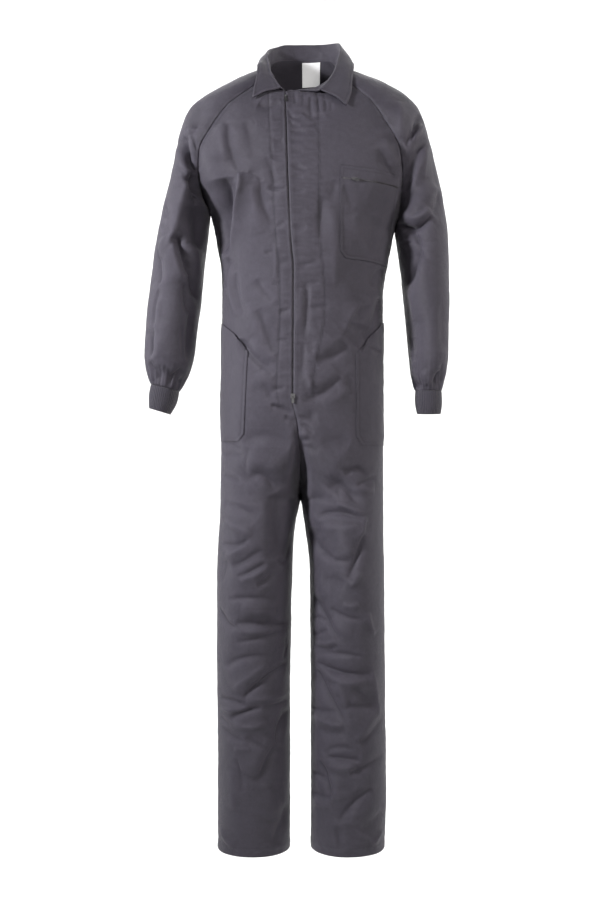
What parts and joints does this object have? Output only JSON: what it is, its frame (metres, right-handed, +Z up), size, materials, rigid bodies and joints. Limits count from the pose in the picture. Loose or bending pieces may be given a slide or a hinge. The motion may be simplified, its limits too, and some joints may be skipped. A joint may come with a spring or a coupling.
{
  "type": "boiler suit",
  "caption": "A dark grey twill boiler suit with a two-way front zip, raglan sleeves, a shirt collar, rib-knit cuffs and patch pockets, filled out as if worn.",
  "frame": {"origin": "centre of the neck base, midway between the two points where the shoulders meet the neck", "axes": "+Z up, +X to the wearer's left, -Y to the wearer's front"},
  "size_m": [0.6209, 0.265, 1.6673],
  "materials": {
    "twill": "matte woven twill, washed once",
    "rib_knit": "matte rib knit",
    "zip_tape": "matte woven tape",
    "zip_teeth": "dark coil, half gloss",
    "nickel": "bright nickel plate",
    "label_satin": "white woven satin"
  },
  "bodies": {
    "suit": {"back_lower_left": "twill", "back_lower_right": "twill", "back_upper": "twill", "chest_pocket_bag": "twill", "chest_pocket_band": "twill", "chest_zip_chain": "zip_teeth", "chest_zip_slider": "nickel", "collar": "twill", "cuff_left": "rib_knit", "cuff_right": "rib_knit", "front_left": "twill", "front_right": "twill", "front_zip_chain": "zip_teeth", "front_zip_slider_bottom": "nickel", "front_zip_slider_top": "nickel", "front_zip_tape_left": "zip_tape", "front_zip_tape_right": "zip_tape", "hip_pocket_left": "twill", "hip_pocket_right": "twill", "neck_label": "label_satin", "sleeve_left": "twill", "sleeve_right": "twill"},
    "pull_top": {"front_zip_pull_top": "nickel"},
    "pull_bottom": {"front_zip_pull_bottom": "nickel"},
    "pull_chest": {"chest_zip_pull": "nickel"}
  },
  "joints": [
    {"name": "pull_top_hinge", "type": "hinge", "parent": "suit", "child": "pull_top", "pos_m": [-0.03281, -0.07616, -0.07536], "axis": [-0.9997, -0.0127, -0.0229], "range_deg": [0, 180]},
    {"name": "pull_bottom_hinge", "type": "hinge", "parent": "suit", "child": "pull_bottom", "pos_m": [-0.01799, -0.12771, -0.67418], "axis": [-1, -0.0001, 0.0022], "range_deg": [0, 180]},
    {"name": "pull_chest_hinge", "type": "hinge", "parent": "suit", "child": "pull_chest", "pos_m": [0.10659, -0.12457, -0.25132], "axis": [0.0696, 0.0225, 0.9973], "range_deg": [0, 180]}
  ]
}
